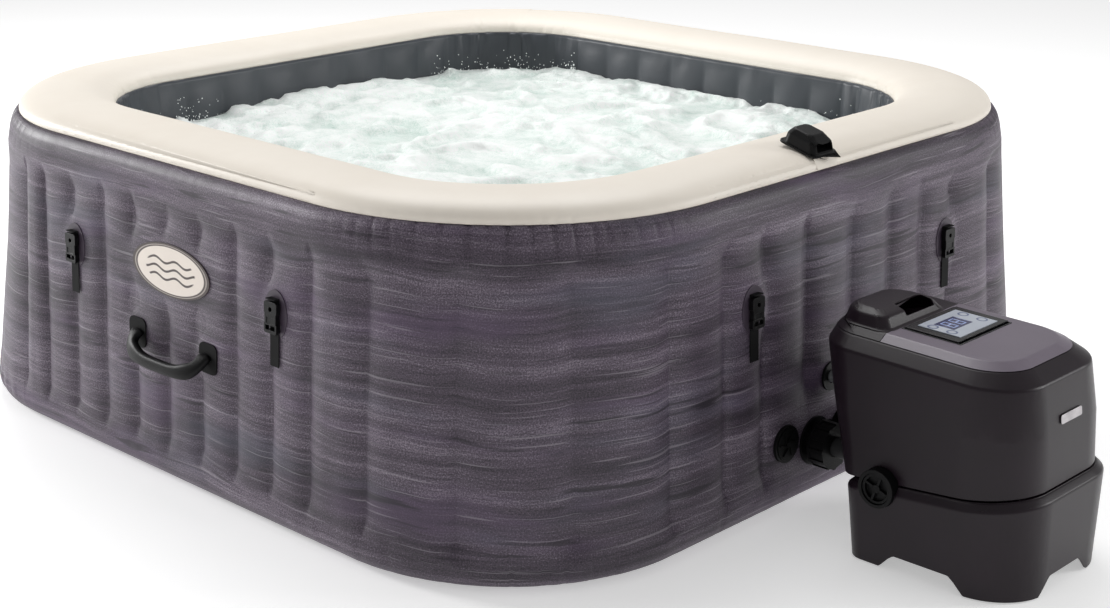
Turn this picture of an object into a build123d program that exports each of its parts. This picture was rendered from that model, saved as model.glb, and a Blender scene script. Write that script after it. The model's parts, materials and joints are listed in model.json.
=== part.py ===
from build123d import *
import math
import os

# Square inflatable hot tub with its control base. Millimetres, floor at z = 0,
# tub centre on the z axis, badge side facing -Y, control base on the +X side.

FLAT = 420.0          # half length of the straight part of each side
RIM_OUT, RIM_IN = 930.0, 717.0
SEAM_Z, RIM_Z, CREST = 669.0, 664.0, 41.0
LEAN = math.degrees(math.atan2(32.0, 669.0))   # the side flares out to the floor
WALL = [(0.0, 934.0, 398.0), (12.0, 962.0, 424.0), (45.0, 979.8, 447.0),
        (350.0, 965.3, 495.0), (630.0, 951.9, 528.0), (655.0, 943.0, 522.0),
        (668.5, 930.5, 510.0)]                   # height, half width, corner radius


def between(z, column):
    """A column of the wall table at height z, on straight lines between its rows."""
    for low, high in zip(WALL, WALL[1:]):
        if z <= high[0]:
            t = (z - low[0]) / (high[0] - low[0])
            return low[column] + t * (high[column] - low[column])
    return WALL[-1][column]


def rounded(half, radius, z, thickness=None):
    """Rounded square centred on the z axis, as a face, or as a plate going up."""
    face = Pos(0, 0, z) * RectangleRounded(2 * half, 2 * half, radius)
    return face if thickness is None else extrude(face, amount=thickness)


def ring_of(profile):
    """Carry a profile drawn in distance out and height round the rounded square."""
    face = Pos(0, FLAT, 0) * (Plane.XZ * profile)
    side = extrude(face, amount=2 * FLAT)
    corner = revolve(face, axis=Axis((FLAT, FLAT, 0), (0, 0, 1)), revolution_arc=90)
    whole = side + corner
    for k in (1, 2, 3):
        whole = whole + Rot(0, 0, 90 * k) * side + Rot(0, 0, 90 * k) * corner
    return whole


def quad(*points):
    return make_face(Polyline(*points, close=True))


def on_wall(k, along, z):
    """Frame on side k: x along the side, -y outwards, z up the leaning wall."""
    return (Rot(0, 0, 90 * k) * Pos(along, -between(z, 1), z) * Rot(-LEAN, 0, 0))


def rod_y(radius, length, start):
    """Cylinder running outwards along -y from y = start."""
    return Pos(0, start - length / 2, 0) * Rot(90, 0, 0) * Cylinder(radius, length)


def rod_x(radius, x0, x1, y, z):
    return Pos((x0 + x1) / 2, y, z) * Rot(0, 90, 0) * Cylinder(radius, x1 - x0)


def rod_z(radius, x, y, z0, z1):
    return Pos(x, y, (z0 + z1) / 2) * Cylinder(radius, z1 - z0)


def block(x0, x1, y0, y1, z0, z1):
    return Pos((x0 + x1) / 2, (y0 + y1) / 2, (z0 + z1) / 2) * Box(x1 - x0, y1 - y0, z1 - z0)


def run_of(points, radius):
    """Round bar along straight runs, with a ball at each bend."""
    bar = None
    for a, b in zip(points, points[1:]):
        a, b = Vector(*a), Vector(*b)
        plane = Plane(origin=(a + b) * 0.5, z_dir=b - a)
        piece = plane * Cylinder(radius, (b - a).length)
        bar = piece if bar is None else bar + piece
    for point in points[1:-1]:
        bar = bar + Pos(*point) * Sphere(radius)
    return bar


def save(name, *solids):
    """Write a node, one STEP solid per loose piece."""
    pieces = []
    for shape in solids:
        pieces.extend(shape.solids())
    out = pieces[0] if len(pieces) == 1 else Compound(children=pieces)
    out.label = name
    export_step(out, "parts/" + name + ".step")


os.makedirs("parts", exist_ok=True)

# ---------------------------------------------------------------- ports
PORT_A, PORT_B, PORT_Z = -112.0, -6.0, 128.0
AIR_Y, AIR_Z = -59.0, 250.0


def port_holes(radius, air, x0, x1):
    return (rod_x(radius, x0, x1, PORT_A, PORT_Z) + rod_x(radius, x0, x1, PORT_B, PORT_Z)
            + rod_x(air, x0, x1, AIR_Y, AIR_Z))


# ---------------------------------------------------------------- tub skins
outer = loft([rounded(h, r, z) for z, h, r in WALL], ruled=True)
inside = loft([rounded(h - 2.2, r - 2.2, z) for z, h, r in WALL], ruled=True)
wall = outer - inside - port_holes(23.5, 15.5, 900, 1020)
save("outer_wall", wall)

a, mid = (RIM_OUT - RIM_IN) / 2, (RIM_OUT + RIM_IN) / 2


def crest(shrink):
    """Points of the puffed rim's section, from the outer seam over to the inner rim."""
    out = []
    for k in range(9):
        t = math.pi * k / 8
        base = SEAM_Z if t < math.pi / 2 else RIM_Z
        if k == 4:
            base = (SEAM_Z + RIM_Z) / 2
        out.append((mid + (a - shrink) * math.cos(t), base + (CREST - shrink) * math.sin(t)))
    return out


top, low = crest(0.0), crest(2.0)
rim = make_face([Spline(*top), Line(top[-1], low[-1]), Spline(*low[::-1]), Line(low[0], top[0])])
save("top_ring", ring_of(rim))

inner = ring_of(quad((707, 3.6), (717, 663.6), (715, 663.6), (705, 3.6)))
inner = inner - port_holes(23.5, 4.0, 690, 730) - rod_x(12.5, 690, 730, AIR_Y, 19)
save("inner_wall", inner)

save("bottom_sheet", rounded(931.4, 395.4, 0, 3.0))
save("bottom_weld_band", rounded(983.8, 446.4, 56, 10) - rounded(982.2, 445.0, 55, 12))

FACE_Y = [-452, -342, -232, -122, -12, 98, 208, 318, 428]
FACE_X = [-389, -272, -134, 19, 155, 270, 380]
webs = []
heights = [32, 45, 350, 628]
for k in range(4):
    for along in (FACE_Y if k % 2 == 0 else FACE_X):
        # Sides k = 2 and 3 are seen from behind, so their spacing runs the other way.
        rim_pts = [(-between(z, 1) + 3.6, z) for z in heights]
        in_pts = [(-(707.6 + z * 10 / 660), z) for z in heights[::-1]]
        sheet = quad(*(rim_pts + in_pts))
        web = extrude(Pos(along, 0, 0) * (Plane.YZ * sheet), amount=0.5, both=True)
        webs.append(Rot(0, 0, 90 * k) * web)
    for angle in (0.2736, 0.6038, 0.9906, 1.3585):
        ux, uy = math.sin(angle), math.cos(angle)
        rim_pts = []
        for z in heights:
            shift = between(z, 1) - between(z, 2) - FLAT
            along = (ux + uy) * shift
            reach = along + math.sqrt(between(z, 2) ** 2 - 2 * shift ** 2 + along ** 2)
            rim_pts.append((reach - 3.8, z))
        in_pts = [(287.8 + z * 10 / 660, z) for z in heights[::-1]]
        sheet = quad(*(rim_pts + in_pts))
        web = extrude(Plane.XZ * sheet, amount=0.5, both=True)
        web = Pos(FLAT, -FLAT, 0) * Rot(0, 0, -90 + math.degrees(angle)) * web
        webs.append(Rot(0, 0, 90 * k) * web)
save("internal_webs", *webs)

# ---------------------------------------------------------------- air channel on the tub floor
channel = quad((684, 4), (702, 4), (702, 30), (684, 30)) - quad((686, 6), (700, 6), (700, 28), (686, 28))
channel = ring_of(channel) - rod_x(11.0, 699, 704, AIR_Y, 19)
for k in range(4):
    for j in range(-3, 4):
        hole = Rot(0, 0, 90 * k) * Pos(j * 130, -692, 29) * Cylinder(3, 6)
        channel = channel - hole
save("bubble_channel", channel)
duct_path = [(1100, AIR_Y, AIR_Z), (830, AIR_Y, AIR_Z), (830, AIR_Y, 19), (703, AIR_Y, 19)]
save("air_duct", run_of(duct_path, 12) - run_of([(1102, AIR_Y, AIR_Z)] + duct_path[1:3]
                                                + [(700, AIR_Y, 19)], 10))

# ---------------------------------------------------------------- badge, handles, buckles
save("wall_badge", on_wall(0, 12, 461) * (Pos(0, -0.6, 0) * extrude(Plane.XZ * Ellipse(127, 54), amount=2.2)))

anchors, grips = {}, {}
for name, k in (("front", 0), ("back", 2)):
    frame = on_wall(k, 14, 308)
    plates, posts = [], []
    for s in (-1, 1):
        plate = Pos(s * 118, -0.7, 0) * extrude(Plane.XZ * RectangleRounded(56, 62, 14), amount=2.4)
        lug = Pos(s * 116, -3.3, 0) * extrude(Plane.XZ * RectangleRounded(34, 42, 8), amount=9)
        plates.append(frame * plate)
        posts.append(Pos(0, 0, 0) * lug)
    bend = [(-116, -9, 2), (-92, -34, -26), (-70, -44, -38), (70, -44, -38), (92, -34, -26), (116, -9, 2)]
    grip = posts[0] + posts[1] + run_of(bend, 7.5)
    grip = grip + Pos(0, -44, -38) * Rot(0, 90, 0) * Cylinder(10.5, 118)
    grips[name] = frame * (grip & Pos(0, -203.2, 0) * Box(400, 400, 400))
    anchors[name] = plates
save("handle_patches", *(anchors["front"] + anchors["back"]))
save("front_handle", grips["front"])
save("back_handle", grips["back"])

SIDES = ["front", "right", "back", "left"]
tabs, tails = [], []
for k, middle in enumerate((7.5, 20.0, 0.0, 0.0)):
    for side, s in (("a", -1), ("b", 1)):
        frame = on_wall(k, middle + s * 333, 440)
        tabs.append(frame * (Pos(0, -0.6, 6) * extrude(Plane.XZ * Ellipse(34, 48), amount=1.4)))
        tails.append(frame * (block(-12.5, 12.5, -4.0, -2.4, -96, 38.8)
                              + block(-12.5, 12.5, -15.5, -2.4, 37.2, 38.8)))
        body = Pos(0, -10, 0) * Box(37, 9.6, 62)
        body = fillet(body.edges().filter_by(Axis.Y), 5)
        body = body - Pos(0, -10, 16) * Rot(90, 0, 0) * Cylinder(4.5, 20)
        body = body - Pos(0, -10, -20) * Box(27, 20, 9)
        for e in (-1, 1):
            body = body - Pos(e * 19.5, -10, -2) * Box(6, 20, 20)
        body = body - Pos(0, -15.2, -6) * Box(22, 3, 12)
        body = Pos(0, 0, 2) * body
        save("buckle_" + SIDES[k] + "_" + side, frame * body)
save("buckle_patches", *tabs)
save("buckle_straps", *tails)

# ---------------------------------------------------------------- rim dock
dock_frame = Pos(883, -52, 704.2) * Rot(0, 15.3, 0)
plate = extrude(RectangleRounded(92, 82, 14), amount=4)
dome = loft([Pos(2, 0, 4) * RectangleRounded(82, 72, 14), Pos(-2, 0, 22) * RectangleRounded(74, 66, 14),
             Pos(-8, 0, 34) * RectangleRounded(46, 48, 12)], ruled=True)
dock = plate + dome - Pos(28, 0, 15) * Box(44, 50, 14)
save("rim_dock", dock_frame * dock)
strip = ring_of(quad((931.2, 671), (932.6, 671), (921, 691), (919.6, 691)))
save("dock_strap", strip & block(900, 960, -84, -20, 660, 720))

# ---------------------------------------------------------------- air valve on the wall
valve = on_wall(1, -210, 148)
seat = rod_y(38, 6, -0.8) - rod_y(32.6, 5, -2.8)
save("air_valve_seat", valve * seat)
cap = rod_y(31.8, 5, -3.4)
for k in range(6):
    vane = Pos(17, -9.6, 0) * Box(22, 3, 3.2)
    cap = cap + Rot(0, 60 * k, 0) * (Pos(0, 0, 6) * Rot(0, 18, 0) * vane & rod_y(30, 20, 0))
cap = cap + rod_y(7, 3.5, -8)
save("air_valve_cap", valve * cap)

# ---------------------------------------------------------------- wall ports
flanges, sleeves, grilles = [], [], []
for y in (PORT_A, PORT_B):
    ring = rod_y(50, 4.5, -0.9) + rod_y(34, 8, -0.9) - rod_y(23.5, 20, 0)
    flanges.append(on_wall(1, y, PORT_Z) * ring)
    sleeves.append(rod_x(21, 708.5, 1008, y, PORT_Z) - rod_x(18, 700, 1010, y, PORT_Z))
    grille = rod_x(47, 697, 705, y, PORT_Z) - rod_x(40, 695, 701, y, PORT_Z)
    for j in range(-3, 4):
        grille = grille - block(695, 710, y - 24, y + 24, PORT_Z + j * 9 - 2.5, PORT_Z + j * 9 + 2.5)
    grilles.append(grille)
flanges.append(on_wall(1, AIR_Y, AIR_Z) * (rod_y(30, 4.5, -0.9) - rod_y(14.5, 20, 0)))
save("wall_flanges", *flanges)
save("port_sleeves", *sleeves)
save("inner_grilles", *grilles)


def collar(x0, x1, outer_r, bore, y, z, ribs):
    body = rod_x(outer_r - 2.5, x0, x1, y, z) + rod_x(outer_r - 1, x0, x0 + 5, y, z)
    for k in range(ribs):
        rib = Pos((x0 + x1) / 2, 0, 0) * Rot(360 * k / ribs, 0, 0) * Pos(0, 0, outer_r - 3) * Box(x1 - x0, 7, 6)
        body = body + Pos(0, y, z) * rib
    return body - rod_x(bore, x0 - 1, x1 + 1, y, z)


save("inlet_collar", collar(994, 1030, 49, 21.6, PORT_A, PORT_Z, 12))
save("outlet_collar", collar(994, 1030, 49, 21.6, PORT_B, PORT_Z, 12))
save("air_collar", collar(1004, 1030, 26, 12.6, AIR_Y, AIR_Z, 10))

# ---------------------------------------------------------------- control base shells
TILT = math.degrees(math.atan(0.02))      # the lid falls this much towards +X
RISE = math.degrees(math.atan(0.10))      # the ledge rises this much towards +X
PANEL_X, PANEL_Y = 1267.0, -93.0
HOLE_X, HOLE_Z = 1250.0, 165.0            # inflation port on the base's -Y side


def plan(x0, x1, yc, half, front, rear, place):
    """Rounded plan of the base: large corners in front, small ones at the tub side."""
    y0, y1, c = yc - half, yc + half, math.sqrt(0.5)
    edges = [Line((x0 + rear, y0), (x1 - front, y0)),
             ThreePointArc((x1 - front, y0), (x1 - front + front * c, y0 + front - front * c),
                           (x1, y0 + front)),
             Line((x1, y0 + front), (x1, y1 - front)),
             ThreePointArc((x1, y1 - front), (x1 - front + front * c, y1 - front + front * c),
                           (x1 - front, y1)),
             Line((x1 - front, y1), (x0 + rear, y1)),
             ThreePointArc((x0 + rear, y1), (x0 + rear - rear * c, y1 - rear + rear * c),
                           (x0, y1 - rear)),
             Line((x0, y1 - rear), (x0, y0 + rear)),
             ThreePointArc((x0, y0 + rear), (x0 + rear - rear * c, y0 + rear - rear * c),
                           (x0 + rear, y0))]
    return place * make_face(edges)


def sloped(z, angle):
    """A level that turns about y, named by its height at x = 1450."""
    return Pos(1450, 0, z) * Rot(0, angle, 0) * Pos(-1450, 0, 0)


def lid_at(z):
    return sloped(z, TILT)


def ledge_at(z):
    return sloped(z, -RISE)


def hull(sections, inset=0.0):
    """Ruled body through sections (x0, x1, centre y, half width, front radius, rear radius, place)."""
    return loft([plan(x0 + inset, x1 - inset, yc, h - inset, f - inset, r - inset, place)
                 for x0, x1, yc, h, f, r, place in sections], ruled=True)


def level(section, place):
    return section[:6] + (place,)


foot_plan = (1178, 1534, -100, 184, 112, 34, Pos(0, 0, 3))
ledge_plan = (1166, 1534, -96, 205, 128, 40, ledge_at(176))
neck_plan = (1182, 1520, -96, 192, 118, 34, ledge_at(190))
skirt = hull([foot_plan, ledge_plan, neck_plan])
skirt = skirt - hull([foot_plan, ledge_plan, level(neck_plan, ledge_at(194))], 4.0)
skirt = skirt - hull([level(foot_plan, Pos(0, 0, 2.5)), level(foot_plan, Pos(0, 0, 3.5))], 4.0)


def arch(wide, narrow, height):
    return quad((-wide, 0), (wide, 0), (narrow + 8, height - 10), (narrow - 4, height),
                (-narrow + 4, height), (-narrow - 8, height - 10))


side_arch = extrude(Pos(1342, 0, 0) * (Plane.XZ * arch(92, 62, 34)), amount=400, both=True)
end_arch = extrude(Pos(0, -108, 0) * (Plane.YZ * arch(88, 56, 36)), amount=2000, both=True)
feet = [(1206, -256, 27), (1206, 56, 27), (1478, -228, 33), (1478, 28, 33)]
for x, y, radius in feet:
    skirt = skirt + (rod_z(radius, x, y, 3, 26) & hull([foot_plan, ledge_plan], 1.0))
skirt = skirt - side_arch - end_arch
port_well = Pos(HOLE_X, 0, HOLE_Z) * rod_y(37.4, 60, -268)
screw_at = [Pos(1386, y, 182) * Rot(0, 0, turn) for y, turn in ((-144, -45), (-48, 45))]
for frame in screw_at:
    skirt = skirt - frame * rod_x(5.2, 104, 140, 0, 0)
skirt = skirt - port_well - port_holes(22.5, 4, 1150, 1200)
save("base_skirt", skirt)
save("foot_pads", *[rod_z(13, x, y, 0, 2.8) for x, y, radius in feet])
save("housing_screws", *[frame * (rod_x(4.2, 116, 124, 0, 0) + rod_x(2.2, 100, 118, 0, 0)) for frame in screw_at])
floor_plan = (1182, 1527, -100, 181, 110, 32, Pos(0, 0, 42))
save("base_floor", hull([floor_plan, level(floor_plan, Pos(0, 0, 46))], 1.0))

house_plans = [(1150, 1518, -96, 191, 120, 40, ledge_at(193)), (1108, 1512, -98, 187, 116, 60, Pos(0, 0, 300)),
               (1070, 1497, -100, 175, 106, 80, lid_at(396)), (1074, 1464, -100, 146, 88, 70, lid_at(418))]
housing = hull(house_plans)
inside = [level(house_plans[0], ledge_at(192.6))] + house_plans[1:3] + [level(house_plans[3], lid_at(418.6))]
housing = housing - hull(inside, 4.0)
housing = housing - port_well - rod_x(15.5, 1060, 1150, AIR_Y, AIR_Z)
save("upper_housing", housing)

rim_plan = (1074, 1464, -100, 146, 88, 70, lid_at(418.6))
top_plan = (1082, 1444, -102, 124, 76, 60, lid_at(430))
shell = hull([rim_plan, top_plan])
shell = shell - hull([level(rim_plan, lid_at(418.2)), level(top_plan, lid_at(426))], 4.0)
hump_plans = [(1082, 1199, -120, 104, 24, 56, lid_at(429)), (1088, 1184, -126, 88, 20, 50, lid_at(452)),
              (1100, 1162, -130, 64, 16, 30, lid_at(459))]
hump = hull(hump_plans)
hump_hollow = hull([level(hump_plans[0], lid_at(424)), hump_plans[1], level(hump_plans[2], lid_at(455))], 4.0)
pocket = lid_at(430) * Pos(0, PANEL_Y, 0)
slot = pocket * block(1158, 1190, -52, 42, -40, 60)
hood = (shell + hump - hump_hollow) & block(1000, 1199.4, -400, 400, 380, 520)
save("rear_hood", hood - slot)
lid = shell & block(1200, 1600, -400, 400, 380, 520)
save("top_cover", lid - pocket * block(1204, 1330, -90, 90, -30, 20))

cup = pocket * (block(1158.3, 1189.7, -51.7, 41.7, -48, -5.0) - block(1160.8, 1187.2, -49.2, 39.2, -45.5, 40))
save("handle_cup", cup)

tray = block(1204.3, 1329.7, -89.7, 89.7, -12, 1.0) - block(1207, 1327, -87, 87, -9.5, 5)
save("panel_tray", pocket * tray)
panel = pocket * Pos(PANEL_X, 0, -2.4) * Box(112, 172, 13)
panel = fillet(panel.edges().filter_by(Axis.Y).group_by(Axis.Z)[-1], 1.5)
save("control_panel", panel)
save("screen_glass", pocket * Pos(PANEL_X + 1, 0, 4.75) * Box(90, 130, 1.2))

badge_frame = Pos(1508.6, -92, 322) * Rot(0, -8.6, 0)
save("front_badge", badge_frame * (Pos(1.4, 0, 0) * extrude(Plane.YZ * RectangleRounded(74, 17, 4), amount=1.6)))

# ---------------------------------------------------------------- side inflation port
port_frame = Pos(HOLE_X, 0, HOLE_Z)
ring = rod_y(37, 38, -271) - rod_y(30, 34, -282)
save("blower_port", port_frame * ring)
cap = rod_y(29.4, 13, -293) - rod_y(24, 8, -298.5) + rod_y(8, 12, -294)
for k in range(4):
    cap = cap + Rot(0, 90 * k + 20, 0) * Pos(16, -300, 0) * Box(20, 11, 5)
save("blower_port_cap", port_frame * cap)

# ---------------------------------------------------------------- plumbing and machinery inside
hose = rod_x(19.5, 1009, 1199, PORT_A, PORT_Z) - rod_x(16.5, 1000, 1202, PORT_A, PORT_Z)
hose_b = rod_x(19.5, 1009, 1199, PORT_B, PORT_Z) - rod_x(16.5, 1000, 1202, PORT_B, PORT_Z)
save("water_hoses", hose, hose_b)
volute = rod_x(46, 1199.5, 1240, PORT_A, PORT_Z) - rod_x(41, 1203.5, 1236, PORT_A, PORT_Z)
volute = volute - rod_x(16.5, 1190, 1210, PORT_A, PORT_Z) - rod_x(6, 1230, 1245, PORT_A, PORT_Z)
volute = volute - rod_z(10, 1220, PORT_A, PORT_Z, PORT_Z + 60)
save("pump_volute", volute)
wheel = rod_x(36, 1229, 1233, PORT_A, PORT_Z) + rod_x(9, 1218, 1233, PORT_A, PORT_Z)
for k in range(6):
    wheel = wheel + Pos(1224, PORT_A, PORT_Z) * Rot(60 * k, 0, 0) * Pos(0, 0, 21) * Box(12, 2.5, 28)
wheel = wheel + rod_x(4, 1233, 1262, PORT_A, PORT_Z)
save("impeller", wheel)
motor = rod_x(40, 1240.4, 1330, PORT_A, PORT_Z) - rod_x(6, 1235, 1266, PORT_A, PORT_Z)
motor = motor + block(1250, 1320, PORT_A - 30, PORT_A + 30, 46.4, 92)
motor = motor - rod_x(6, 1235, 1266, PORT_A, PORT_Z)
save("pump_motor", motor)
heater = rod_x(25, 1199.5, 1420, PORT_B, PORT_Z) - rod_x(22, 1203, 1416, PORT_B, PORT_Z)
heater = heater - rod_x(16.5, 1190, 1210, PORT_B, PORT_Z) - rod_z(10, 1398, PORT_B, PORT_Z, PORT_Z + 40)
save("heater_tube", heater)
element = run_of([(1214, PORT_B, PORT_Z - 9), (1380, PORT_B, PORT_Z - 9), (1380, PORT_B, PORT_Z + 9),
                  (1214, PORT_B, PORT_Z + 9)], 4)
save("heater_element", element)
bend = [(1220, PORT_A, PORT_Z + 47), (1220, PORT_A, 210), (1398, PORT_B, 210), (1398, PORT_B, PORT_Z + 26)]
link = run_of(bend, 12.5) - run_of([(1220, PORT_A, PORT_Z + 40)] + bend[1:3] + [(1398, PORT_B, PORT_Z + 20)], 9.5)
link = link & block(1150, 1500, -300, 100, PORT_Z + 26.5, 300) - rod_x(47, 1190, 1250, PORT_A, PORT_Z)
save("transfer_pipe", link)
drum = rod_z(62, 1390, -118, 232, 296) - rod_z(57, 1390, -118, 236, 292)
drum = drum - rod_z(5, 1390, -118, 290, 300) - rod_x(12.6, 1290, 1350, AIR_Y, AIR_Z)
save("blower_housing", drum)
fan = rod_z(50, 1390, -118, 240, 242.5) + rod_z(10, 1390, -118, 240, 286) + rod_z(3.5, 1390, -118, 285, 318)
for k in range(16):
    blade = Pos(1390, -118, 262) * Rot(0, 0, 22.5 * k) * Pos(43, 0, 0) * Rot(0, 0, 30) * Box(12, 1.6, 40)
    fan = fan + blade
save("blower_fan", fan)
save("blower_motor", rod_z(30, 1390, -118, 296.4, 352) - rod_z(5, 1390, -118, 290, 322))
save("air_hose", rod_x(14, 1101, 1333.5, AIR_Y, AIR_Z) - rod_x(11, 1090, 1340, AIR_Y, AIR_Z)
     - rod_z(62.4, 1390, -118, 200, 300))
board = block(1216, 1330, -170, -34, 392, 394)
for x, y, w, d, h in ((1240, -150, 18, 30, 9), (1300, -140, 26, 20, 12), (1280, -60, 34, 24, 8), (1235, -70, 14, 14, 11)):
    board = board + block(x - w / 2, x + w / 2, y - d / 2, y + d / 2, 394, 394 + h)
save("circuit_board", board)
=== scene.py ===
import json
import math

import bmesh
import bpy
import numpy as np
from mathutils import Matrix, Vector


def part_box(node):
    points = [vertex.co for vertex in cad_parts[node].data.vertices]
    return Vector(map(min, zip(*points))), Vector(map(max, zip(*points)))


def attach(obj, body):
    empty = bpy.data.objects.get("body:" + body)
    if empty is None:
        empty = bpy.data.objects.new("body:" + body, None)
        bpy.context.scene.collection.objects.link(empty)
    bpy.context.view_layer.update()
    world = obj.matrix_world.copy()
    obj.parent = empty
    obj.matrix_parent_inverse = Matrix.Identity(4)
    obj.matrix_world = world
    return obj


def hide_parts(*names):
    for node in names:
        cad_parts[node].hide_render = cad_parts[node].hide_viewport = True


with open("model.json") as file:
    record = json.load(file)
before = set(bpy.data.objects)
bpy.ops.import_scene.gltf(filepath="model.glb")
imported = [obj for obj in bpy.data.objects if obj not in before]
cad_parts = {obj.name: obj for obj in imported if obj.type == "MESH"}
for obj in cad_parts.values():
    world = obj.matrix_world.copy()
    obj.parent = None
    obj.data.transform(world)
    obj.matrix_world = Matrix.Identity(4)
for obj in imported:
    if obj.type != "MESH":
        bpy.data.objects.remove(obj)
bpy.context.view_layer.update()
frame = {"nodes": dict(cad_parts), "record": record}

# Square inflatable hot tub with its control base, in metres. The floor is z = 0, the badge
# side faces -Y, and the control base stands on the +X side.

NODE = frame["nodes"]
PI = math.pi

# ------------------------------------------------------------------ camera, floor and light
camera = bpy.data.objects.new("camera", bpy.data.cameras.new("camera"))
bpy.context.scene.collection.objects.link(camera)
AZIMUTH = math.radians(44.44)   # from the badge side towards the base side
LOOK_DOWN = 0.3138              # in radians
DISTANCE = 4.2698               # from the middle of the tub, in plan
EYE_HEIGHT = 1.5521
camera.location = (DISTANCE * math.sin(AZIMUTH), -DISTANCE * math.cos(AZIMUTH), EYE_HEIGHT)
camera.rotation_euler = (PI / 2 - LOOK_DOWN, 0, AZIMUTH)
camera.data.sensor_width = 36
camera.data.lens = 61.05
camera.data.shift_x = 0.0446
bpy.context.scene.camera = camera
bpy.context.scene.view_settings.view_transform = "Standard"


def light(name, place, target, size, power):
    """Square soft light of side size at place, turned to face target."""
    lamp = bpy.data.lights.new(name, "AREA")
    lamp.shape = "SQUARE"
    lamp.size = size
    lamp.energy = power
    thing = bpy.data.objects.new(name, lamp)
    thing.location = place
    aim = Vector(target) - Vector(place)
    thing.rotation_euler = aim.to_track_quat("-Z", "Y").to_euler()
    bpy.context.scene.collection.objects.link(thing)


light("light_top", (-1.5, 1.2, 4.3), (0.2, 0, 0), 3.4, 124)
light("light_left", (-4.8, -2.6, 2.0), (0, 0, 0.3), 1.2, 190)
light("light_right", (4.6, 3.6, 2.2), (0.8, 0, 0.3), 1.4, 84)

world = bpy.data.worlds.new("studio")
bpy.context.scene.world = world
world.use_nodes = True
sky = world.node_tree.nodes["Background"].inputs
sky["Color"].default_value = (1, 1, 1, 1)
sky["Strength"].default_value = 0.38


# ------------------------------------------------------------------ shader maths
class Wire:
    """A socket's output. Arithmetic on it adds Math nodes to the same finish."""

    def __init__(self, finish, socket):
        self.finish = finish
        self.socket = socket

    def _do(self, operation, *values):
        return self.finish.add("ShaderNodeMath", {"operation": operation}, *values)

    def __add__(self, other):
        return self._do("ADD", self, other)

    def __sub__(self, other):
        return self._do("SUBTRACT", self, other)

    def __rsub__(self, other):
        return self._do("SUBTRACT", other, self)

    def __mul__(self, other):
        return self._do("MULTIPLY", self, other)

    def __truediv__(self, other):
        return self._do("DIVIDE", self, other)

    def __abs__(self):
        return self._do("ABSOLUTE", self)

    __radd__ = __add__
    __rmul__ = __mul__

    def part(self):
        """What is left above the whole number."""
        return self._do("FRACT", self)

    def sine(self):
        return self._do("SINE", self)

    def root(self):
        return self._do("SQRT", self)

    def most(self, other):
        """The larger of the two."""
        return self._do("MAXIMUM", self, other)

    def step(self, low, high):
        """Smooth ramp from 0 at low to 1 at high; low may be the larger."""
        return self.finish.add("ShaderNodeMapRange", {"interpolation_type": "SMOOTHSTEP"},
                               self, low, high, 0.0, 1.0)


class Finish:
    """A material under construction: one Principled shader and the nodes that feed it."""

    def __init__(self, name, **fixed):
        self.made = bpy.data.materials.new(name)
        self.made.use_nodes = True
        self.tree = self.made.node_tree
        self.shader = self.tree.nodes["Principled BSDF"]
        for socket, value in fixed.items():
            self.set(socket.replace("_", " "), value)

    def add(self, kind, settings, *values, out=0, **named):
        """One node of a kind: its settings first, then its sockets in order or by name."""
        node = self.tree.nodes.new(kind)
        for key, value in settings.items():
            if key == "stops":
                self._stops(node.color_ramp, value)
            else:
                setattr(node, key, value)
        live = [s for s in node.inputs if s.enabled]
        for socket, value in zip(live, values):
            self._feed(socket, value)
        for key, value in named.items():
            self._feed(next(s for s in live if s.name == key.replace("_", " ")), value)
        outs = [s for s in node.outputs if s.enabled]
        found = outs[out] if isinstance(out, int) else next(s for s in outs if s.name == out)
        return Wire(self, found)

    def _feed(self, socket, value):
        if isinstance(value, Wire):
            self.tree.links.new(value.socket, socket)
        elif value is not None:
            if socket.type == "RGBA" and len(value) == 3:
                value = (*value, 1)
            socket.default_value = value

    @staticmethod
    def _stops(ramp, stops):
        while len(ramp.elements) < len(stops):
            ramp.elements.new(0.5)
        for element, (place, colour) in zip(ramp.elements, stops):
            element.position = place
            element.color = (*colour, 1) if len(colour) == 3 else colour

    def set(self, socket, value):
        self._feed(self.shader.inputs[socket], value)

    def place(self):
        """Object coordinates, in metres."""
        return self.add("ShaderNodeTexCoord", {}, out="Object")

    def laid(self):
        """The piece's own UV map, in metres along and up."""
        return self.add("ShaderNodeUVMap", {"uv_map": "UVMap"})

    def split(self, vector):
        node = self.tree.nodes.new("ShaderNodeSeparateXYZ")
        self.tree.links.new(vector.socket, node.inputs[0])
        return [Wire(self, s) for s in node.outputs]

    def join(self, x, y, z=0.0):
        return self.add("ShaderNodeCombineXYZ", {}, x, y, z)

    def stretch(self, vector, scale, turn=(0, 0, 0)):
        return self.add("ShaderNodeMapping", {}, vector, (0, 0, 0), turn, scale)

    def noise(self, vector, scale, detail=3.0, rough=0.55, warp=0.0):
        return self.add("ShaderNodeTexNoise", {}, vector, scale, detail, rough, Distortion=warp)

    def cells(self, vector, scale, feature="F1"):
        return self.add("ShaderNodeTexVoronoi", {"feature": feature}, vector, scale)

    def ramp(self, value, *stops):
        return self.add("ShaderNodeValToRGB", {"stops": stops}, value)

    def mix(self, share, first, second):
        """Colours: first where share is 0, second where it is 1."""
        return self.add("ShaderNodeMix", {"data_type": "RGBA"}, share, first, second)

    def bump(self, height, distance, strength):
        return self.add("ShaderNodeBump", {}, Strength=strength, Distance=distance, Height=height)


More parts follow.
